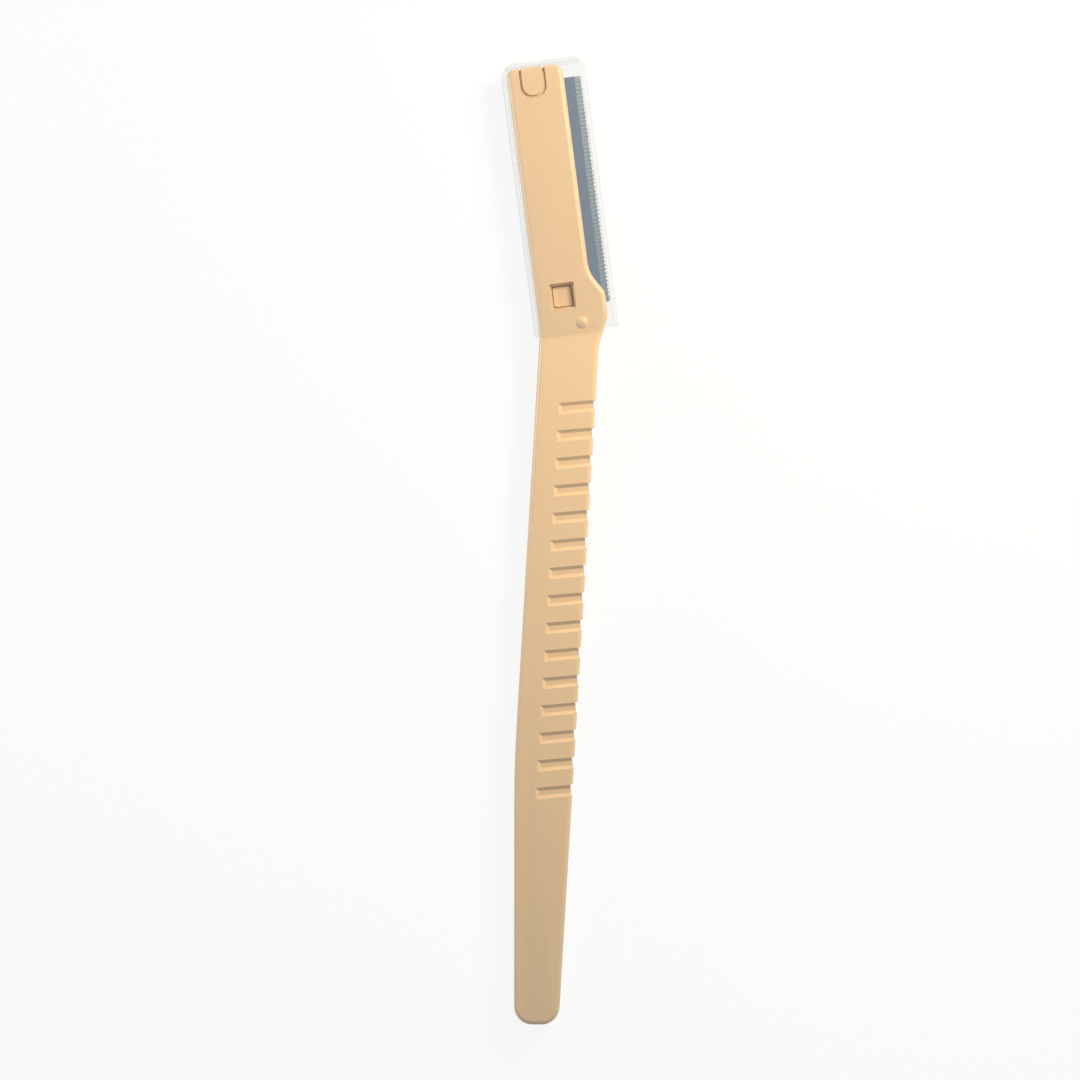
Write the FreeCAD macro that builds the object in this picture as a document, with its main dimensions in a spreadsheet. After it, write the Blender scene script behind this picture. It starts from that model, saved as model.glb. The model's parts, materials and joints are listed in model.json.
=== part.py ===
import FreeCAD, Part
import math
import os
import re
import Sketcher

# Eyebrow razor lying on its back, millimetres. Every piece is drawn in the head's frame: origin on the
# left edge where the grip ends and the head begins, x towards the blade, y along the head to its tip,
# z towards the front face. All pieces are then turned by the bend, so that the grip runs along +Y.
dimensions = {
    # moulded handle
    "bend_angle": 10.75,         # lean of the head off the grip, degrees
    "grip_length": 108.3,        # neck corner to butt end
    "grip_width": 9.37,
    "taper_start": 62.3,         # neck corner to where the left edge begins to draw in
    "taper_blend": 200.0,        # radius that eases the parallel edge into the taper
    "taper_angle": 3.4,          # degrees
    "butt_skew": 0.35,           # butt's left corner beyond its right one
    "butt_radius": 2.9,
    "butt_flat": 0.3,            # least straight stretch between the butt's rounded corners
    "neck_radius": 26.0,
    "rim_radius": 0.8,           # roll-over of the long edges, front and back
    "corner_margin": 0.1,        # least excess of a corner's radius over the rim that rolls round it
    "head_width": 8.8,
    "head_length": 41.25,
    "front_thickness": 2.25,     # front half of the head, in front of the blade
    "tip_left_radius": 1.1,
    "tip_right_radius": 1.5,
    # shoulder that guards the lower corner of the blade
    "shoulder_reach": 1.7,       # beyond the wider of head and grip
    "shoulder_start": 8.3,       # where the slope leaves the head's edge
    "shoulder_top": 4.9,
    "shoulder_low": 1.1,
    "shoulder_foot": 1.6,        # down the grip, where the lower slope runs out
    "shoulder_slope_radius": 5.0,
    "shoulder_nose_radius": 1.7,
    "shoulder_foot_radius": 8.0,
    # finger grooves
    "groove_first": 10.2,        # neck corner down to the first groove, at the blade-side edge
    "groove_pitch": 4.31,
    "groove_count": 15,
    "groove_length": 5.9,
    "groove_width": 1.75,
    "groove_depth": 0.4,
    "groove_draft": 52.0,        # slope of the groove's walls off upright, degrees
    "groove_slant": 8.5,         # off square to the grip, degrees
    "notch_depth": 0.4,          # groove's bite into the blade-side edge
    # raised dot that grips the cap
    "dot_inset": 2.1,            # from the head's blade-side edge
    "dot_level": 0.55,
    "dot_diameter": 2.05,
    "dot_height": 0.42,
    # rear plate that clamps the blade
    "plate_thickness": 1.95,
    "step_level": 0.7,           # plate's lower end, below the neck corner
    "seam_gap": 0.08,
    # lug of the plate in the notch at the tip
    "lug_width": 3.34,
    "lug_height": 4.5,
    "lug_radius": 1.5,
    "lug_flat": 0.2,             # least straight stretch between the lug's rounded corners
    "lug_gap": 0.36,             # open line round the lug's face
    "lug_line_depth": 0.4,
    "lug_fit": 0.06,             # lug to notch below that line
    "land": 0.55,                # plastic left between the lug's notch and the blade seat
    # snap hook of the plate in its window
    "window_offset": 0.3,        # window's middle beyond the lug's, towards the blade
    "window_level": 5.0,
    "window_width": 3.1,
    "window_height": 3.3,
    "window_radius": 0.35,
    "window_ledge": 0.7,         # ledge that the hook's nose catches
    "ledge_height": 0.6,
    "hook_drop": 1.1,            # hook's face below the front face
    "mouth_margin": 0.4,         # window's sloping mouth beyond its throat, on each side
    "mouth_land": 0.1,           # least flat between that mouth and the rim
    "hook_gap": 0.1,
    # blade and its folded comb guard
    "blade_start": 3.4,
    "blade_drop": 2.1,           # blade's upper end below the tip
    "blade_grip": 2.2,           # held inside the head
    "blade_thickness": 0.25,
    "bevel_length": 0.9,
    "guard_reach": 2.8,          # fold of the guard beyond the head's edge
    "guard_inset": 0.15,         # guard's ends inside the blade's ends
    "foil_thickness": 0.12,
    "foil_gap": 0.02,
    "fold_opening": 0.08,        # height left inside the fold
    "edge_gap": 0.08,            # cutting edge behind the fold
    "slot_pitch": 0.62,
    "slot_width": 0.32,
    "slot_depth": 1.2,
    "slot_margin": 0.8,          # plain foil left at each end
    "seat_gap": 0.03,            # foil to plastic, through the thickness
    "seat_margin": 0.1,          # blade to plastic, along and across
    # pins of the plate through blade and guard
    "pin_count": 2,
    "pin_diameter": 1.0,
    "pin_inset": 1.1,            # from the head's blade-side edge
    "pin_margin": 5.5,           # first and last pin from the blade's ends
    "pin_fit": 0.04,             # radial
    "hole_gap": 0.06,            # radial, in blade and guard
    "socket_depth": 0.8,
    # clear slip-on cap
    "cap_wall": 0.6,
    "cap_gap": 0.2,
    "cap_dot_gap": 0.05,
    "cap_stop_gap": 0.1,
    "cap_tip_gap": 0.2,
    "cap_tip_wall": 0.6,
    "cap_corner_radius": 2.2,
    "cap_rim_radius": 1.1,
    "cap_bore_radius": 0.5,
}

doc = FreeCAD.newDocument("EyebrowRazor")
sheet = doc.addObject("Spreadsheet::Sheet", "Dims")
for row, (alias, value) in enumerate(dimensions.items(), start=1):
    sheet.set(f"A{row}", alias.replace("_", " "))
    sheet.set(f"B{row}", str(value))
    sheet.setAlias(f"B{row}", alias)
doc.recompute()

# Left edge of the grip, drawn in from the parallel line
blend_inset = "taper_blend * (1 - cos(taper_angle))"
blend_low = "(taper_start + taper_blend * sin(taper_angle))"
butt_inset = f"({blend_inset} + (grip_length - {blend_low}) * tan(taper_angle))"

# Levels and lines that several pieces share
head_back = "cap_wall + cap_gap"
parting = f"{head_back} + plate_thickness"
front_face = f"{parting} + front_thickness"
stack = "blade_thickness / 2 + foil_gap + foil_thickness"
blade_end = "head_length - blade_drop"
blade_length = f"({blade_end} - blade_start)"
blade_back = "head_width - blade_grip"
fold = "(head_width + guard_reach)"
edge_line = f"({fold} - foil_thickness - edge_gap)"
bevel_line = f"({edge_line} - bevel_length)"
nose_line = "(max(head_width, grip_width * cos(bend_angle)) + shoulder_reach)"
seat_wall = f"{blade_back} - seat_margin"
lug_line = f"({seat_wall} - land - lug_width / 2 - lug_gap)"
lug_round = "min(lug_radius, (lug_width - lug_flat) / 2)"
window_line = f"({lug_line} + window_offset)"
window_low = "window_level - window_height / 2"
window_high = "window_level + window_height / 2"
pin_line = "head_width - pin_inset"
pin_step = f"({blade_length} - 2 * pin_margin) / (pin_count - 1)"
cap_mouth = "cap_stop_gap - step_level"
cap_left = "-cap_gap - step_level * tan(bend_angle)"
cap_right = f"max({fold}, {nose_line}) + cap_gap"
cap_front = f"{front_face} + dot_height + cap_dot_gap"
beyond = "grip_length"           # safely past the outline, for cuts that run out of the piece
same = 0.01                      # places closer together than this are one


def bound(text):
    return re.sub(r"[a-z_]+", lambda word: f"Dims.{word[0]}" if word[0] in dimensions else word[0], text)


def size(text):
    return float(sheet.evalExpression(bound(text)))


def bind(thing, path, text):
    thing.setExpression(path, bound(text))


def on_grip(across, down):
    x = f"({across}) * cos(bend_angle) - ({down}) * sin(bend_angle)"
    y = f"-({across}) * sin(bend_angle) - ({down}) * cos(bend_angle)"
    return x, y


# Point of the first groove, in the grip's own axes: run along the groove from the blade-side edge,
# drop across it from its upper wall
def on_groove(run, drop):
    x = f"grip_width + ({run}) * cos(groove_slant) + ({drop}) * sin(groove_slant)"
    y = f"-groove_first + ({run}) * sin(groove_slant) - ({drop}) * cos(groove_slant)"
    return x, y


def new_body(label):
    body = doc.addObject("PartDesign::Body", label)
    body.Label = label
    return body


def new_sketch(body, name, role="XY_Plane", level="0"):
    sketch = body.newObject("Sketcher::SketchObject", name)
    plane = next(item for item in body.Origin.OriginFeatures if item.Role == role)
    sketch.AttachmentSupport = [(plane, "")]
    sketch.MapMode = "FlatFace"
    bind(sketch, "AttachmentOffset.Base.z", level)
    return sketch


def fix_point(sketch, curve, end, x=None, y=None):
    for kind, text in (("DistanceX", x), ("DistanceY", y)):
        if text is not None:
            index = sketch.addConstraint(Sketcher.Constraint(kind, curve, end, size(text)))
            bind(sketch, f"Constraints[{index}]", text)


# Arc between two corners about a centre at the given x, turning left or right on the way
def arc_between(start, stop, centre_x, turn):
    middle = (start + stop) / 2
    chord = stop - start
    centre = FreeCAD.Vector(centre_x, middle.y - (centre_x - middle.x) * chord.x / chord.y, 0)
    first, last = (start, stop) if turn == "left" else (stop, start)
    low = math.atan2(first.y - centre.y, first.x - centre.x)
    high = math.atan2(last.y - centre.y, last.x - centre.x)
    circle = Part.Circle(centre, FreeCAD.Vector(0, 0, 1), centre.distanceToPoint(start))
    return Part.ArcOfCircle(circle, low, high if high > low else high + 2 * math.pi)


# Closed profile through corners given as pairs of expressions. A key of arcs is the corner where an arc
# starts instead of a straight side, and its value holds the x of the arc's centre and its turn.
def draw_profile(sketch, corners, arcs=()):
    points = [FreeCAD.Vector(size(x), size(y), 0) for x, y in corners]
    ends = []
    for index, start in enumerate(points):
        stop = points[(index + 1) % len(points)]
        if index in arcs:
            centre_x, turn = arcs[index]
            sketch.addGeometry(arc_between(start, stop, size(centre_x), turn))
            ends.append((1, 2) if turn == "left" else (2, 1))
        else:
            sketch.addGeometry(Part.LineSegment(start, stop))
            ends.append((1, 2))
    for index, (x, y) in enumerate(corners):
        following = (index + 1) % len(corners)
        sketch.addConstraint(
            Sketcher.Constraint("Coincident", index, ends[index][1], following, ends[following][0]))
        fix_point(sketch, index, ends[index][0], x, y)
        if index in arcs:
            fix_point(sketch, index, 3, x=arcs[index][0])


def draw_rectangle(sketch, left, right, low, high):
    draw_profile(sketch, [(left, low), (right, low), (right, high), (left, high)])


def draw_circle(sketch, x, y, diameter):
    circle = Part.Circle(FreeCAD.Vector(size(x), size(y), 0), FreeCAD.Vector(0, 0, 1), size(diameter) / 2)
    index = sketch.addGeometry(circle)
    fix_point(sketch, index, 3, x, y)
    datum = sketch.addConstraint(Sketcher.Constraint("Diameter", index, size(diameter)))
    bind(sketch, f"Constraints[{datum}]", diameter)


def pad(body, sketch, length, name, away=False):
    feature = body.newObject("PartDesign::Pad", name)
    feature.Profile = sketch
    feature.Reversed = away
    bind(feature, "Length", length)
    doc.recompute()
    return feature


# Cut from the sketch's plane against its normal, or along it when towards is set. A cut that removes
# nothing points the wrong way.
def pocket(body, sketch, name, length=None, towards=False):
    before = body.Shape.Volume
    feature = body.newObject("PartDesign::Pocket", name)
    feature.Profile = sketch
    feature.Reversed = towards
    if length is None:
        feature.SideType = "Symmetric"
        feature.Type = "ThroughAll"
    else:
        bind(feature, "Length", length)
    doc.recompute()
    if body.Shape.Volume >= before:
        raise ValueError(f"{body.Label}: {name} cuts nothing")
    return feature


def row_of(body, feature, sketch, count, step, name, axis="V_Axis", backwards=False):
    pattern = body.newObject("PartDesign::LinearPattern", name)
    pattern.Originals = [feature]
    pattern.Direction = (sketch, [axis])
    pattern.Reversed = backwards
    pattern.Mode = "Spacing"
    bind(pattern, "Offset", step)
    bind(pattern, "Occurrences", count)
    body.Tip = pattern
    doc.recompute()
    return pattern


def fillet(body, edges, radius, name):
    base = body.Tip
    feature = body.newObject("PartDesign::Fillet", name)
    feature.Base = (base, edges)
    bind(feature, "Radius", radius)
    doc.recompute()
    return feature


# Slope cut along edges, reaching outwards on the face and down the wall
def slope_edges(body, edges, outwards, down, name):
    base = body.Tip
    feature = body.newObject("PartDesign::Chamfer", name)
    feature.Base = (base, edges)
    feature.ChamferType = "Two distances"
    bind(feature, "Size", outwards)
    bind(feature, "Size2", down)
    doc.recompute()
    return feature


def edges_where(body, test):
    return [f"Edge{number}" for number, edge in enumerate(body.Tip.Shape.Edges, start=1) if test(edge)]


# Upright edges standing on the given corners
def upright_edges(body, corners):
    places = [(size(x), size(y)) for x, y in corners]

    def stands_on_corner(edge):
        box = edge.BoundBox
        if box.XLength + box.YLength > same or box.ZLength < same:
            return False
        return any(math.hypot(box.XMin - x, box.YMin - y) < same for x, y in places)

    return edges_where(body, stands_on_corner)


def level_edges(body, level, test=lambda edge: True):
    z = size(level)
    return edges_where(
        body, lambda edge: abs(edge.BoundBox.ZMin - z) + abs(edge.BoundBox.ZMax - z) < same and test(edge))


# Test for edges that lie inside a rectangle of the front view
def within(left, right, low, high):
    sides = [size(text) for text in (left, right, low, high)]

    def lies_inside(edge):
        box = edge.BoundBox
        spare = [box.XMin - sides[0], sides[1] - box.XMax, box.YMin - sides[2], sides[3] - box.YMax]
        return min(spare) > -same

    return lies_inside


# Front view of handle and head: a straight grip that tapers to the butt, a head that leans off it and
# a shoulder on the blade side, with each corner rounded by its own radius.
def outline_blank(body, level, height):
    neck = ("0", "0")
    tip_left = ("0", "head_length")
    tip_right = ("head_width", "head_length")
    slope = ("head_width", "shoulder_start")
    nose_top = (nose_line, "shoulder_top")
    nose_low = (nose_line, "shoulder_low")
    foot = on_grip("grip_width", "shoulder_foot")
    butt_right = on_grip("grip_width", "grip_length")
    butt_left = on_grip(butt_inset, "grip_length + butt_skew")
    blend_start = on_grip("0", "taper_start")
    blend_end = on_grip(blend_inset, blend_low)
    blend_centre = on_grip("taper_blend", "taper_start")
    sketch = new_sketch(body, f"{body.Label}_outline", level=level)
    draw_profile(sketch, [neck, blend_start, blend_end, butt_left, butt_right, foot, nose_low, nose_top,
                          slope, tip_right, tip_left], arcs={1: (blend_centre[0], "left")})
    pad(body, sketch, height, f"{body.Label}_blank")
    rounds = [
        ([neck], "neck_radius", "neck"),
        ([butt_left, butt_right], f"min(butt_radius, (grip_width - {butt_inset} - butt_flat) / 2)", "butt"),
        ([foot], "shoulder_foot_radius", "foot"),
        ([nose_low, nose_top], "shoulder_nose_radius", "nose"),
        ([slope], "shoulder_slope_radius", "slope"),
        ([tip_left], "max(tip_left_radius, rim_radius + corner_margin)", "tip_left"),
        ([tip_right], "max(tip_right_radius, rim_radius + corner_margin)", "tip_right"),
    ]
    for corners, radius, name in rounds:
        fillet(body, upright_edges(body, corners), radius, f"{body.Label}_{name}_round")


# Seat for the blade and guard, cut from the parting face to one side of it
def cut_blade_seat(body, towards):
    sketch = new_sketch(body, f"{body.Label}_seat", level=parting)
    draw_rectangle(sketch, seat_wall, beyond, "blade_start - seat_margin", f"{blade_end} + seat_margin")
    pocket(body, sketch, f"{body.Label}_blade_seat", f"{stack} + seat_gap", towards)


# Round holes on the pin line, one for each pin
def cut_pin_holes(body, diameter, depth=None, level="0", towards=False):
    sketch = new_sketch(body, f"{body.Label}_pin_hole", level=level)
    draw_circle(sketch, pin_line, "blade_start + pin_margin", diameter)
    hole = pocket(body, sketch, f"{body.Label}_first_hole", depth, towards)
    row_of(body, hole, sketch, "pin_count", pin_step, f"{body.Label}_holes")


def make_handle():
    body = new_body("handle")
    outline_blank(body, "0", front_face)
    fillet(body, level_edges(body, front_face), "rim_radius", "front_rim")
    fillet(body, level_edges(body, "0"), "rim_radius", "back_rim")

    # finger grooves on both faces, and their bite into the edge between
    clockwise = FreeCAD.Rotation(FreeCAD.Vector(0, 0, -1), size("bend_angle"))
    faces = [("front", front_face, "-groove_length", "groove_depth", False),
             ("back", "0", "-groove_length", "groove_depth", True),
             ("edge", "0", "-notch_depth", None, False)]
    for name, level, reach, depth, towards in faces:
        sketch = new_sketch(body, f"groove_{name}", level=level)
        sketch.AttachmentOffset = FreeCAD.Placement(FreeCAD.Vector(0, 0, size(level)), clockwise)
        bind(sketch, "AttachmentOffset.Rotation.Angle", "bend_angle * 1 deg")
        draw_profile(sketch, [on_groove(reach, "0"), on_groove(reach, "groove_width"),
                              on_groove("groove_length", "groove_width"), on_groove("groove_length", "0")])
        first = pocket(body, sketch, f"first_groove_{name}", depth, towards)
        if depth:
            bind(first, "TaperAngle", "-groove_draft")
        row_of(body, first, sketch, "groove_count", "groove_pitch", f"grooves_{name}", backwards=True)

    # rear half of the head, left open for the clamping plate
    sketch = new_sketch(body, "head_rear")
    draw_rectangle(sketch, f"-{beyond}", beyond, "-step_level", f"head_length + {beyond}")
    pocket(body, sketch, "plate_seat", parting, towards=True)
    cut_blade_seat(body, towards=True)
    cut_pin_holes(body, "pin_diameter + 2 * pin_fit", f"{stack} + seat_gap + socket_depth", parting, True)

    # notch at the tip for the plate's lug
    notch_left = f"{lug_line} - lug_width / 2 - lug_gap"
    notch_right = f"{lug_line} + lug_width / 2 + lug_gap"
    notch_low = "head_length - lug_height - lug_gap"
    sketch = new_sketch(body, "lug_notch", level=front_face)
    draw_rectangle(sketch, notch_left, notch_right, notch_low, f"head_length + {beyond}")
    pocket(body, sketch, "notch", "front_thickness")
    fillet(body, upright_edges(body, [(notch_left, notch_low), (notch_right, notch_low)]),
           f"{lug_round} + lug_gap", "notch_round")

    # window for the plate's snap hook, with the ledge that the hook catches
    left = f"{window_line} - window_width / 2"
    right = f"{window_line} + window_width / 2"
    sketch = new_sketch(body, "window_front", level=front_face)
    draw_rectangle(sketch, left, right, window_low, window_high)
    pocket(body, sketch, "window", "front_thickness - ledge_height")
    mouth = f"min(mouth_margin, {left} - rim_radius - mouth_land)"
    slope_edges(body, level_edges(body, front_face, within(left, right, window_low, window_high)),
                mouth, "hook_drop", "window_mouth")
    sketch = new_sketch(body, "window_rear", level=parting)
    draw_rectangle(sketch, left, right, f"{window_low} + window_ledge", window_high)
    pocket(body, sketch, "window_throat", "ledge_height", towards=True)
    window_corners = [(x, y) for x in (left, right) for y in (window_low, window_high)]
    fillet(body, upright_edges(body, window_corners), "window_radius", "window_round")

    # raised dot, a slice of a ball rooted in the front face
    dot = body.newObject("PartDesign::AdditiveSphere", "cap_dot")
    ball = "(dot_height / 2 + dot_diameter ^ 2 / (8 * dot_height))"
    bind(dot, "Radius", ball)
    bind(dot, "Angle1", f"asin(1 - 2 * dot_height / {ball})")
    bind(dot, "Placement.Base.x", "head_width - dot_inset")
    bind(dot, "Placement.Base.y", "dot_level")
    bind(dot, "Placement.Base.z", f"{front_face} + dot_height - {ball}")
    return body


def make_plate():
    body = new_body("blade_plate")
    outline_blank(body, head_back, "plate_thickness")
    fillet(body, level_edges(body, head_back), "rim_radius", "plate_rim")
    sketch = new_sketch(body, "plate_end")
    draw_rectangle(sketch, f"-{beyond}", beyond, f"-2 * {beyond}", "seam_gap - step_level")
    pocket(body, sketch, "grip_removed")
    cut_blade_seat(body, towards=False)

    # pins that locate the blade
    sketch = new_sketch(body, "pin", level=f"{parting} - ({stack} + seat_gap)")
    draw_circle(sketch, pin_line, "blade_start + pin_margin", "pin_diameter")
    first = pad(body, sketch, f"2 * ({stack} + seat_gap) + socket_depth - seam_gap", "first_pin")
    row_of(body, first, sketch, "pin_count", pin_step, "pins")

    # lug that fills the notch at the tip, flush with the front face, on a wider foot that closes the notch
    left = f"{lug_line} - lug_width / 2"
    right = f"{lug_line} + lug_width / 2"
    low = "head_length - lug_height"
    sketch = new_sketch(body, "lug_outline", level=parting)
    draw_rectangle(sketch, left, right, low, "head_length")
    pad(body, sketch, "front_thickness", "lug")
    fillet(body, upright_edges(body, [(left, low), (right, low)]), lug_round, "lug_round")
    step = "(lug_gap - lug_fit)"
    foot_left = f"{left} - {step}"
    foot_right = f"{right} + {step}"
    foot_low = f"{low} - {step}"
    sketch = new_sketch(body, "lug_foot_outline", level=parting)
    draw_rectangle(sketch, foot_left, foot_right, foot_low, "head_length - rim_radius")
    pad(body, sketch, "front_thickness - lug_line_depth", "lug_foot")
    fillet(body, upright_edges(body, [(foot_left, foot_low), (foot_right, foot_low)]),
           f"{lug_round} + {step}", "lug_foot_round")
    tip = size("head_length")
    fillet(body, level_edges(body, front_face, lambda edge: abs(edge.BoundBox.YMin - tip) < same),
           "rim_radius", "lug_rim")

    # snap hook: a post through the window's throat and a nose over its ledge
    left = f"{window_line} - window_width / 2 + hook_gap"
    right = f"{window_line} + window_width / 2 - hook_gap"
    low = f"{window_low} + window_ledge + hook_gap"
    high = f"{window_high} - hook_gap"
    nose_low = f"{window_low} + hook_gap"
    sketch = new_sketch(body, "hook_post", level=parting)
    draw_rectangle(sketch, left, right, low, high)
    pad(body, sketch, "front_thickness - hook_drop", "post")
    sketch = new_sketch(body, "hook_nose", level=f"{parting} + ledge_height + seam_gap")
    draw_rectangle(sketch, left, right, nose_low, high)
    pad(body, sketch, "front_thickness - hook_drop - ledge_height - seam_gap", "nose")
    fillet(body, upright_edges(body, [(x, y) for x in (left, right) for y in (nose_low, high)]),
           "window_radius", "hook_round")
    return body


def make_blade():
    body = new_body("blade")
    sketch = new_sketch(body, "blade_section", role="XZ_Plane", level="-blade_start")
    low = f"{parting} - blade_thickness / 2"
    high = f"{parting} + blade_thickness / 2"
    draw_profile(sketch, [(blade_back, low), (bevel_line, low), (edge_line, parting), (bevel_line, high),
                          (blade_back, high)])
    pad(body, sketch, blade_length, "strip", away=True)
    cut_pin_holes(body, "pin_diameter + 2 * hole_gap")
    return body


# Thin foil that follows the blade's bevels and is folded round the cutting edge. Slots across the fold
# leave a comb of fine bars.
def make_guard():
    body = new_body("blade_guard")
    sketch = new_sketch(body, "guard_section", role="XZ_Plane", level="-blade_start - guard_inset")
    outside = [(blade_back, stack), (bevel_line, stack), (fold, "fold_opening / 2 + foil_thickness")]
    inside = [(blade_back, f"{stack} - foil_thickness"), (bevel_line, f"{stack} - foil_thickness"),
              (f"{fold} - foil_thickness", "fold_opening / 2")]

    def on_side(sign, points):
        return [(x, f"{parting} {sign} ({height})") for x, height in points]

    draw_profile(sketch, on_side("+", outside) + on_side("-", outside[::-1])
                 + on_side("-", inside) + on_side("+", inside[::-1]))
    guard_length = f"({blade_length} - 2 * guard_inset)"
    pad(body, sketch, guard_length, "folded_foil", away=True)
    cut_pin_holes(body, "pin_diameter + 2 * hole_gap")

    sketch = new_sketch(body, "comb_slot")
    first = "blade_start + guard_inset + slot_margin"
    draw_rectangle(sketch, f"{fold} - slot_depth", f"{fold} + slot_depth", first, f"{first} + slot_width")
    slot = pocket(body, sketch, "first_slot")
    count = f"floor(({guard_length} - 2 * slot_margin - slot_width) / slot_pitch) + 1"
    row_of(body, slot, sketch, count, "slot_pitch", "comb")
    return body


def make_cap():
    body = new_body("cap")
    left = f"{cap_left} - cap_wall"
    right = f"{cap_right} + cap_wall"
    tip = "head_length + cap_tip_gap + cap_tip_wall"
    sketch = new_sketch(body, "cap_outline")
    draw_rectangle(sketch, left, right, cap_mouth, tip)
    pad(body, sketch, f"{cap_front} + cap_wall", "cap_block")
    fillet(body, upright_edges(body, [(left, tip), (right, tip)]),
           "max(cap_corner_radius, cap_rim_radius + corner_margin)", "cap_corners")
    mouth = size(cap_mouth)
    leaves_mouth = lambda edge: edge.BoundBox.YMax > mouth + same
    for name, level in (("front", f"{cap_front} + cap_wall"), ("back", "0")):
        fillet(body, level_edges(body, level, leaves_mouth), "cap_rim_radius", f"cap_{name}_rim")

    # straight bore for the head, open at the mouth
    sketch = new_sketch(body, "cap_bore", role="XZ_Plane", level=f"-({cap_mouth})")
    draw_rectangle(sketch, cap_left, cap_right, "cap_wall", cap_front)
    pocket(body, sketch, "bore", f"head_length + cap_tip_gap - ({cap_mouth})")
    sides = [(x, z) for x in (size(cap_left), size(cap_right)) for z in (size("cap_wall"), size(cap_front))]

    def bore_corner(edge):
        box = edge.BoundBox
        if box.XLength + box.ZLength > same:
            return False
        return any(math.hypot(box.XMin - x, box.ZMin - z) < same for x, z in sides)

    fillet(body, edges_where(body, bore_corner), "cap_bore_radius", "bore_corners")
    return body


bodies = [make_handle(), make_plate(), make_blade(), make_guard(), make_cap()]
for body in bodies:
    body.Placement = FreeCAD.Placement(
        FreeCAD.Vector(), FreeCAD.Rotation(FreeCAD.Vector(0, 0, 1), size("bend_angle")))
    bind(body, "Placement.Rotation.Angle", "bend_angle * 1 deg")
doc.recompute()

# Origin on the table under the middle of the whole razor
box = FreeCAD.BoundBox()
for body in bodies:
    box.add(body.Shape.optimalBoundingBox(False, False))
for body in bodies:
    body.Placement.Base = FreeCAD.Vector(-box.Center.x, -box.Center.y, -box.ZMin)
doc.recompute()

for item in doc.Objects:
    if "Invalid" in item.State or "Error" in item.State:
        raise ValueError(f"{item.Label} failed: {item.State}")
for body in bodies:
    if body.Shape.isNull() or not body.Shape.isValid() or len(body.Shape.Solids) != 1:
        raise ValueError(f"{body.Label} is not one valid solid")

os.makedirs("parts", exist_ok=True)
for body in bodies:
    body.Shape.exportStep(f"parts/{body.Label}.step")
    extent = body.Shape.BoundBox
    print(f"{body.Label}: {body.Shape.Volume:.1f} mm3, "
          f"{extent.XLength:.2f} x {extent.YLength:.2f} x {extent.ZLength:.2f} mm")
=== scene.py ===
import json
import math

import bmesh
import bpy
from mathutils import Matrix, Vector


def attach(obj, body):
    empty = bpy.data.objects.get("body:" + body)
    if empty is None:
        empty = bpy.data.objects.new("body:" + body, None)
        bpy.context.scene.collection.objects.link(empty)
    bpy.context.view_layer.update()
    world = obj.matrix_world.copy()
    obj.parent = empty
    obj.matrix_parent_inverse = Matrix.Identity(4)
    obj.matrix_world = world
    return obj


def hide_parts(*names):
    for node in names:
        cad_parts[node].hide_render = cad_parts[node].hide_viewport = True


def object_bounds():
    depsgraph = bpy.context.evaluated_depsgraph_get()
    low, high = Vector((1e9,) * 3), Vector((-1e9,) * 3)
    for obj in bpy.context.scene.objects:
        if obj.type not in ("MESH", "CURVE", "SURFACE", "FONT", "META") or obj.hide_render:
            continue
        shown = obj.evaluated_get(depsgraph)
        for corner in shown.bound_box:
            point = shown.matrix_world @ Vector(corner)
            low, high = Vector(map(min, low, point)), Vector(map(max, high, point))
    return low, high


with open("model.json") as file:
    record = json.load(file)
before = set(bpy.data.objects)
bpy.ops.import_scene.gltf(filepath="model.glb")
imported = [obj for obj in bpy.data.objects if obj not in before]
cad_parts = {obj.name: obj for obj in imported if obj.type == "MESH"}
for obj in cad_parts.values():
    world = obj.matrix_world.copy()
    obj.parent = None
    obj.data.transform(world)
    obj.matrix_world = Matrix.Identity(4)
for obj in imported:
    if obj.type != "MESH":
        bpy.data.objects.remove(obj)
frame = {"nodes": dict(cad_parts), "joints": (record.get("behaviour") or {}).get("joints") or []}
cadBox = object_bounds()
scene = bpy.context.scene
mm = 0.001
up = Vector((0, 0, 1))
alongHead = Vector(frame["joints"][0]["axis"])  # the cap slides along the head
acrossHead = alongHead.cross(up)  # towards the cutting edge
leanAngle = math.atan2(-alongHead.x, alongHead.y)
print("solids loaded:", ", ".join(sorted(frame["nodes"])))


# Reach of a solid across the head, along it and upwards
def headSpan(node):
    spans = []
    for axis in (acrossHead, alongHead, up):
        places = [axis.dot(vertex.co) for vertex in frame["nodes"][node].data.vertices]
        spans.append((min(places), max(places)))
    return spans


def onHead(across, along, height):
    return acrossHead * across + alongHead * along + up * height


# A socket that takes part in plain arithmetic
class Wire:
    def __init__(self, tree, socket=None):
        self.tree = tree
        self.socket = socket

    def node(self, kind, settings=None, inputs=None, out=0):
        made = self.tree.nodes.new(kind)
        for name, value in (settings or {}).items():
            setattr(made, name, value)
        for name, value in (inputs or {}).items():
            if isinstance(value, Wire):
                self.tree.links.new(value.socket, made.inputs[name])
            else:
                made.inputs[name].default_value = value
        return Wire(self.tree, made.outputs[out] if made.outputs else None)

    def calc(self, operation, first, second):
        return self.node("ShaderNodeMath", {"operation": operation}, {0: first, 1: second})

    def __add__(self, other):
        return self.calc("ADD", self, other)

    def __mul__(self, other):
        return self.calc("MULTIPLY", self, other)

    __radd__ = __add__
    __rmul__ = __mul__


def newFinish(name):
    finish = bpy.data.materials.new(name)
    finish.use_nodes = True
    finish.node_tree.nodes.clear()
    return finish, Wire(finish.node_tree)


def noise(start, place, grainSize, detail=2.0):
    return start.node("ShaderNodeTexNoise", None,
                      {"Vector": place, "Scale": 1 / grainSize, "Detail": detail})


def blendTones(start, share, first, second):
    return start.node("ShaderNodeMix", {"data_type": "RGBA"},
                      {0: share, 6: (*first, 1), 7: (*second, 1)}, out=2)


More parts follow.
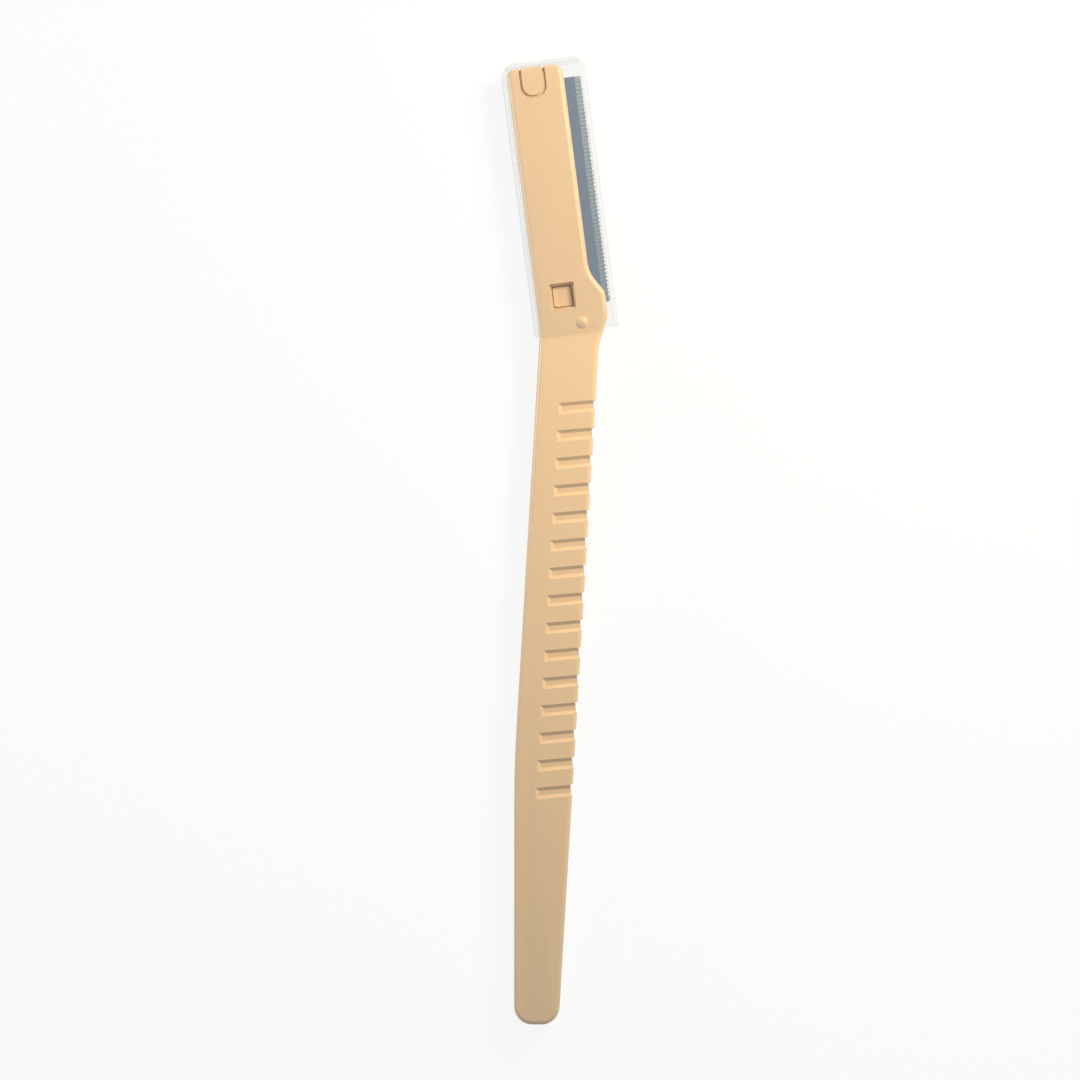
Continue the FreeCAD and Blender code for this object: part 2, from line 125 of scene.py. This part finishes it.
def finishSurface(start, shader):
    start.node("ShaderNodeOutputMaterial", None, {"Surface": shader})


# Satin moulded plastic of handle and plate
peach = {
    "tone": (0.83, 0.57, 0.355),
    "deepTone": (0.79, 0.535, 0.325),
    "flowSize": 14 * mm,       # cloudy flow marks of the melt
    "flowShare": 0.7,          # the specks have the rest
    "speckSize": 0.5 * mm,
    "grainSize": 0.16 * mm,    # spark-eroded texture of the mould
    "grainHeight": 0.006 * mm,
    "peelSize": 3.5 * mm,      # slow waviness of the face
    "peelHeight": 0.01 * mm,
    "roughness": 0.28,         # least, between the grains
    "roughnessRise": 0.1,
}


def makePeachPlastic():
    finish, start = newFinish("peachPlastic")
    place = start.node("ShaderNodeTexCoord", out="Object")
    flow = noise(start, place, peach["flowSize"], 3.0)
    speck = noise(start, place, peach["speckSize"])
    grain = noise(start, place, peach["grainSize"])
    peel = noise(start, place, peach["peelSize"], 1.0)
    share = flow * peach["flowShare"] + speck * (1 - peach["flowShare"])
    tone = blendTones(start, share, peach["tone"], peach["deepTone"])
    wave = start.node("ShaderNodeBump", None, {"Distance": peach["peelHeight"], "Height": peel})
    relief = start.node("ShaderNodeBump", None,
                        {"Distance": peach["grainHeight"], "Height": grain, "Normal": wave})
    shader = start.node("ShaderNodeBsdfPrincipled", None, {
        "Base Color": tone,
        "Roughness": peach["roughness"] + grain * peach["roughnessRise"],
        "Normal": relief,
    })
    finishSurface(start, shader)
    return finish


# Foil folded round the cutting edge and slotted into a comb
comb = {
    "foil": 0.12 * mm,
    "pitch": 0.62 * mm,
    "slot": 0.32 * mm,
    "slotDepth": 1.2 * mm,
    # the ground bevel's width is also the width of the painted highlight on the blade
    "bevel": 0.9 * mm,           # ground edge of the blade
    "endMargin": 0.8 * mm,
    "foldRadius": 0.1 * mm,      # at the middle of the foil
    "foldSteps": 6,
}


# Steel strip and foil, with fine lines along the blade and a painted highlight, a lighter tone, near the
# edge
steel = {
    "lineLength": 6 * mm,
    "lineWidth": 0.05 * mm,
    "lineHeight": 0.0015 * mm,
    "lineShare": 0.6,            # the clouds have the rest
    "cloudSize": 5 * mm,
    "roughnessRise": 0.12,
    # the third, lighter tone of each steel is a painted highlight near its edge
    "ground": {"tone": (0.2, 0.23, 0.27), "deepTone": (0.17, 0.2, 0.24), "paintedHighlightTone": (0.25, 0.29, 0.325),
               "roughness": 0.2},
    "rolled": {"tone": (0.18, 0.22, 0.29), "deepTone": (0.15, 0.19, 0.255), "paintedHighlightTone": (0.2, 0.24, 0.28),
               "roughness": 0.28},
}


# Place across the head, towards the cutting edge
def acrossPlace(start, place):
    return start.node("ShaderNodeVectorMath", {"operation": "DOT_PRODUCT"},
                      {0: place, 1: acrossHead}, out="Value")


def makeSteel(name, given, highlightLine):
    finish, start = newFinish(name)
    place = start.node("ShaderNodeTexCoord", out="Object")
    turned = start.node("ShaderNodeMapping", None, {"Vector": place, "Rotation": (0, 0, -leanAngle)})
    fine = 1 / steel["lineWidth"]
    stretched = start.node("ShaderNodeMapping", None,
                           {"Vector": turned, "Scale": (fine, 1 / steel["lineLength"], fine)})
    lines = start.node("ShaderNodeTexNoise", None, {"Vector": stretched, "Scale": 1.0, "Detail": 3.0})
    cloud = noise(start, place, steel["cloudSize"])
    share = lines * steel["lineShare"] + cloud * (1 - steel["lineShare"])
    strip = blendTones(start, share, given["tone"], given["deepTone"])
    # painted highlight: a lighter tone across the blade's ground bevel and the foil's comb, where they
    # catch the light
    paintedHighlight = start.calc("GREATER_THAN", acrossPlace(start, place), highlightLine)
    colour = start.node("ShaderNodeMix", {"data_type": "RGBA"},
                        {0: paintedHighlight, 6: strip, 7: (*given["paintedHighlightTone"], 1)}, out=2)
    relief = start.node("ShaderNodeBump", None, {"Distance": steel["lineHeight"], "Height": lines})
    shader = start.node("ShaderNodeBsdfPrincipled", None, {
        "Base Color": colour,
        "Metallic": 1.0,
        "Roughness": given["roughness"] + lines * steel["roughnessRise"],
        "Normal": relief,
    })
    finishSurface(start, shader)
    return finish


# Clear moulding of the cap: see-through, with a sheen, and with painted grey shade where it is seen edge
# on, in place of the dark lines that refraction gives in its walls
clear = {
    "tint": (0.992, 0.996, 0.998),
    "bodyTone": (0.54, 0.54, 0.545),
    "hazeTone": (0.64, 0.635, 0.635),
    "faceShare": 0.035,
    "edgeShadeShare": 0.28,
    "edgeBlend": 0.25,
    "roughness": 0.05,
    "roughnessRise": 0.03,
    "peelSize": 4 * mm,
    "peelHeight": 0.008 * mm,
    "hazeSize": 1.2 * mm,
}


def makeClearPlastic():
    finish, start = newFinish("clearPlastic")
    place = start.node("ShaderNodeTexCoord", out="Object")
    peel = noise(start, place, clear["peelSize"], 1.0)
    haze = noise(start, place, clear["hazeSize"])
    relief = start.node("ShaderNodeBump", None, {"Distance": clear["peelHeight"], "Height": peel})
    body = start.node("ShaderNodeBsdfPrincipled", None, {
        "Base Color": blendTones(start, haze, clear["bodyTone"], clear["hazeTone"]),
        "Roughness": clear["roughness"] + haze * clear["roughnessRise"],
        "Normal": relief,
    })
    passed = start.node("ShaderNodeBsdfTransparent", None, {"Color": (*clear["tint"], 1)})
    # painted shade: the grey body shows more where the wall is seen edge on
    edgeOnShade = start.node("ShaderNodeLayerWeight", None, {"Blend": clear["edgeBlend"]}, out="Facing")
    share = clear["faceShare"] + edgeOnShade * clear["edgeShadeShare"]
    finishSurface(start, start.node("ShaderNodeMixShader", None, {0: share, 1: passed, 2: body}))
    return finish


peachPlastic = makePeachPlastic()
bladeEdge = headSpan("blade")[0][1]
guardFold = headSpan("blade_guard")[0][1]
# the blade's ground bevel and the comb of the foil get a painted highlight
groundSteel = makeSteel("groundSteel", steel["ground"], bladeEdge - comb["bevel"])
rolledFoil = makeSteel("rolledFoil", steel["rolled"], guardFold - comb["slotDepth"])
clearPlastic = makeClearPlastic()
print("finishes made")


def addPiece(name, mesh, finish, body, slot, *nodes):
    piece = bpy.data.objects.new(name, mesh)
    scene.collection.objects.link(piece)
    mesh.materials.clear()
    mesh.materials.append(finish)
    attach(piece, body)
    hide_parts(*nodes)
    return piece


def bakedMesh(piece):
    bpy.context.view_layer.update()
    depsgraph = bpy.context.evaluated_depsgraph_get()
    return bpy.data.meshes.new_from_object(piece.evaluated_get(depsgraph))


# Copy of a solid whose sharp edges get a small moulded round; its faces keep the solid's own normals
softEdges = {
    "merge": 0.001 * mm,
    "flat": math.radians(0.2),   # faces closer in angle than this become one
    "sharp": math.radians(28),
    "segments": 3,
}


def softenedCopy(node, width):
    solid = frame["nodes"][node]
    mesh = solid.data.copy()
    shape = bmesh.new()
    shape.from_mesh(mesh)
    bmesh.ops.remove_doubles(shape, verts=shape.verts, dist=softEdges["merge"])
    bmesh.ops.dissolve_limit(shape, angle_limit=softEdges["flat"], verts=shape.verts, edges=shape.edges)
    shape.to_mesh(mesh)
    shape.free()
    mesh.shade_smooth()
    blank = bpy.data.objects.new(f"{node}Blank", mesh)
    scene.collection.objects.link(blank)
    edges = blank.modifiers.new("edges", "BEVEL")
    edges.width = width
    edges.segments = softEdges["segments"]
    edges.limit_method = "ANGLE"
    edges.angle_limit = softEdges["sharp"]
    edges.use_clamp_overlap = False
    normals = blank.modifiers.new("normals", "DATA_TRANSFER")
    normals.object = solid
    normals.use_loop_data = True
    normals.data_types_loops = {"CUSTOM_NORMAL"}
    normals.loop_mapping = "POLYINTERP_NEAREST"
    done = bakedMesh(blank)
    bpy.data.objects.remove(blank)
    return done


mouldedEdges = {"handle": 0.06 * mm, "plate": 0.06 * mm, "cap": 0.05 * mm}
handleShell = addPiece("handleShell", softenedCopy("handle", mouldedEdges["handle"]), peachPlastic,
                       "razor", "peach_plastic", "handle")
clampPlate = addPiece("clampPlate", softenedCopy("blade_plate", mouldedEdges["plate"]), peachPlastic,
                      "razor", "peach_plastic", "blade_plate")
clearCap = addPiece("clearCap", softenedCopy("cap", mouldedEdges["cap"]), clearPlastic,
                    "cap", "clear_plastic", "cap")
print("mouldings softened")

frame["nodes"]["blade"].data.materials.clear()
frame["nodes"]["blade"].data.materials.append(groundSteel)


# Section of the comb: one leg of the foil, the half turn round the edge and the other leg
def foldPath(span, root):
    (_, fold), _, (low, high) = span
    middle = (low + high) / 2
    leg = (high - low - comb["foil"]) / 2
    centre = fold - comb["foldRadius"] - comb["foil"] / 2
    path = [(root, middle + leg)]
    for step in range(comb["foldSteps"] + 1):
        turn = math.pi * (0.5 - step / comb["foldSteps"])
        across = centre + comb["foldRadius"] * math.cos(turn)
        path.append((across, middle + comb["foldRadius"] * math.sin(turn)))
    path.append((root, middle - leg))
    return path


# Strip of foil that follows a path in the blade's section, between two places along the head
def foilStrip(shape, path, start, stop):
    rings = []
    for index, (across, height) in enumerate(path):
        before = Vector(path[max(index - 1, 0)])
        after = Vector(path[min(index + 1, len(path) - 1)])
        way = (after - before).normalized()
        side = Vector((-way.y, way.x)) * comb["foil"] / 2
        outer = Vector((across, height)) + side
        inner = Vector((across, height)) - side
        rings.append([shape.verts.new(onHead(point.x, along, point.y))
                      for point, along in ((outer, start), (outer, stop), (inner, stop), (inner, start))])
    for near, far in zip(rings, rings[1:]):
        for corner in range(4):
            following = (corner + 1) % 4
            shape.faces.new((near[corner], near[following], far[following], far[corner]))
    shape.faces.new(rings[0][::-1])
    shape.faces.new(rings[-1])


# A bar repeated in a row
def repeatTree():
    tree = bpy.data.node_groups.new("repeatAlong", "GeometryNodeTree")
    for name, kind in (("Bar", "NodeSocketGeometry"), ("Count", "NodeSocketInt"),
                       ("Step", "NodeSocketVector"), ("Finish", "NodeSocketMaterial")):
        tree.interface.new_socket(name, in_out="INPUT", socket_type=kind)
    tree.interface.new_socket("Row", in_out="OUTPUT", socket_type="NodeSocketGeometry")
    start = Wire(tree)
    given = tree.nodes.new("NodeGroupInput")
    asked = {socket.name: Wire(tree, socket) for socket in given.outputs}
    places = start.node("GeometryNodeMeshLine", {"mode": "OFFSET"},
                        {"Count": asked["Count"], "Offset": asked["Step"]})
    copies = start.node("GeometryNodeInstanceOnPoints", None, {"Points": places, "Instance": asked["Bar"]})
    solid = start.node("GeometryNodeRealizeInstances", None, {"Geometry": copies})
    dressed = start.node("GeometryNodeSetMaterial", None, {"Geometry": solid, "Material": asked["Finish"]})
    start.node("NodeGroupOutput", None, {"Row": dressed})
    return tree


def setInput(modifier, name, value):
    for item in modifier.node_group.interface.items_tree:
        if item.item_type == "SOCKET" and item.in_out == "INPUT" and item.name == name:
            modifier[item.identifier] = value


def makeComb():
    span = headSpan("blade_guard")
    (back, fold), (low, high), _ = span
    root = fold - comb["slotDepth"]
    path = foldPath(span, root)
    first = low + comb["endMargin"] + comb["slot"]
    count = int((high - comb["endMargin"] - comb["slot"] - first) / comb["pitch"]) + 1
    bar = bmesh.new()
    foilStrip(bar, path, first, first + comb["pitch"] - comb["slot"])
    bmesh.ops.recalc_face_normals(bar, faces=bar.faces)
    barMesh = bpy.data.meshes.new("combBar")
    bar.to_mesh(barMesh)
    bar.free()
    row = bpy.data.objects.new("combRow", barMesh)
    scene.collection.objects.link(row)
    repeat = row.modifiers.new("repeat", "NODES")
    repeat.node_group = repeatTree()
    setInput(repeat, "Count", count)
    setInput(repeat, "Step", alongHead * comb["pitch"])
    setInput(repeat, "Finish", rolledFoil)
    rowMesh = bakedMesh(row)
    bpy.data.objects.remove(row)

    shape = bmesh.new()
    shape.from_mesh(rowMesh)
    foilStrip(shape, path, low, low + comb["endMargin"])
    foilStrip(shape, path, first + count * comb["pitch"], high)
    for side in (path[0], path[-1]):
        foilStrip(shape, [(back, side[1]), side], low, high)
    bmesh.ops.recalc_face_normals(shape, faces=shape.faces)
    mesh = bpy.data.meshes.new("combGuard")
    shape.to_mesh(mesh)
    shape.free()
    return mesh


combGuard = addPiece("combGuard", makeComb(), rolledFoil, "razor", "guard_foil", "blade_guard")
print("comb guard folded")


# Pale floor, soft lamps and the camera
studio = {
    "floorSize": 1.2,
    "floorGap": 0.01 * mm,       # keeps the floor off the razor's back
    "floorTone": (0.9, 0.9, 0.9),
    "floorGlow": 0.88,           # share of plain white that the eye sees in the floor
    "fillTone": (0.68, 0.87, 1.0),
    "fillLevel": 0.41,
    "key": {"spot": (0.12, 0.155, 0.155), "aim": (0, 0.03, 0), "size": 0.08, "watts": 0.62,
            "tone": (1.0, 0.88, 0.62)},
    "side": {"spot": (-0.28, 0.06, 0.035), "aim": (0, 0.03, 0), "size": 0.06, "watts": 0.36,
             "tone": (1.0, 0.95, 0.88)},
}


def seenRay(start):
    rays = [start.node("ShaderNodeLightPath", out=name)
            for name in ("Is Camera Ray", "Is Glossy Ray", "Is Transmission Ray")]
    return start.calc("MINIMUM", rays[0] + rays[1] + rays[2], 1.0)


def addLamp(name, given):
    lamp = bpy.data.lights.new(name, "AREA")
    lamp.size = given["size"]
    lamp.energy = given["watts"]
    lamp.color = given["tone"]
    holder = bpy.data.objects.new(name, lamp)
    holder.location = given["spot"]
    holder.rotation_euler = (Vector(given["aim"]) - holder.location).to_track_quat("-Z", "Y").to_euler()
    scene.collection.objects.link(holder)


def makeStudio():
    finish, start = newFinish("paleFloor")
    matte = start.node("ShaderNodeBsdfDiffuse", None, {"Color": (*studio["floorTone"], 1)})
    white = start.node("ShaderNodeEmission", None, {"Strength": 1.0})
    finishSurface(start, start.node("ShaderNodeMixShader", None,
                                    {0: seenRay(start) * studio["floorGlow"], 1: matte, 2: white}))
    half = studio["floorSize"] / 2
    level = cadBox[0].z - studio["floorGap"]
    corners = [(x * half, y * half, level) for x, y in ((-1, -1), (1, -1), (1, 1), (-1, 1))]
    mesh = bpy.data.meshes.new("floor")
    mesh.from_pydata(corners, [], [(0, 1, 2, 3)])
    mesh.materials.append(finish)
    floor = bpy.data.objects.new("floor", mesh)
    scene.collection.objects.link(floor)

    world = bpy.data.worlds.new("paleRoom")
    world.use_nodes = True
    world.node_tree.nodes.clear()
    start = Wire(world.node_tree)
    fill = start.node("ShaderNodeBackground", None,
                      {"Color": (*studio["fillTone"], 1), "Strength": studio["fillLevel"]})
    white = start.node("ShaderNodeBackground", None, {"Color": (1, 1, 1, 1), "Strength": 1.0})
    room = start.node("ShaderNodeMixShader", None, {0: seenRay(start), 1: fill, 2: white})
    start.node("ShaderNodeOutputWorld", None, {"Surface": room})
    scene.world = world
    for name in ("key", "side"):
        addLamp(f"{name}Lamp", studio[name])


camera = {
    "lens": 100,
    "sensor": 36,
    "fill": 0.9,                 # razor's length in the picture's height
    "roll": math.radians(3.4),   # grip's lean in the picture
}


def makeCamera():
    lowest, highest = cadBox
    middle = (lowest + highest) / 2
    lens = bpy.data.cameras.new("camera")
    lens.lens = camera["lens"]
    lens.sensor_width = camera["sensor"]
    reach = (highest.y - lowest.y) / camera["fill"]
    eye = bpy.data.objects.new("camera", lens)
    eye.location = (middle.x, middle.y, highest.z + reach * camera["lens"] / camera["sensor"])
    eye.rotation_euler = (0, 0, camera["roll"])
    scene.collection.objects.link(eye)
    scene.camera = eye


makeStudio()
makeCamera()
scene.view_settings.view_transform = "Standard"
print("studio lit")
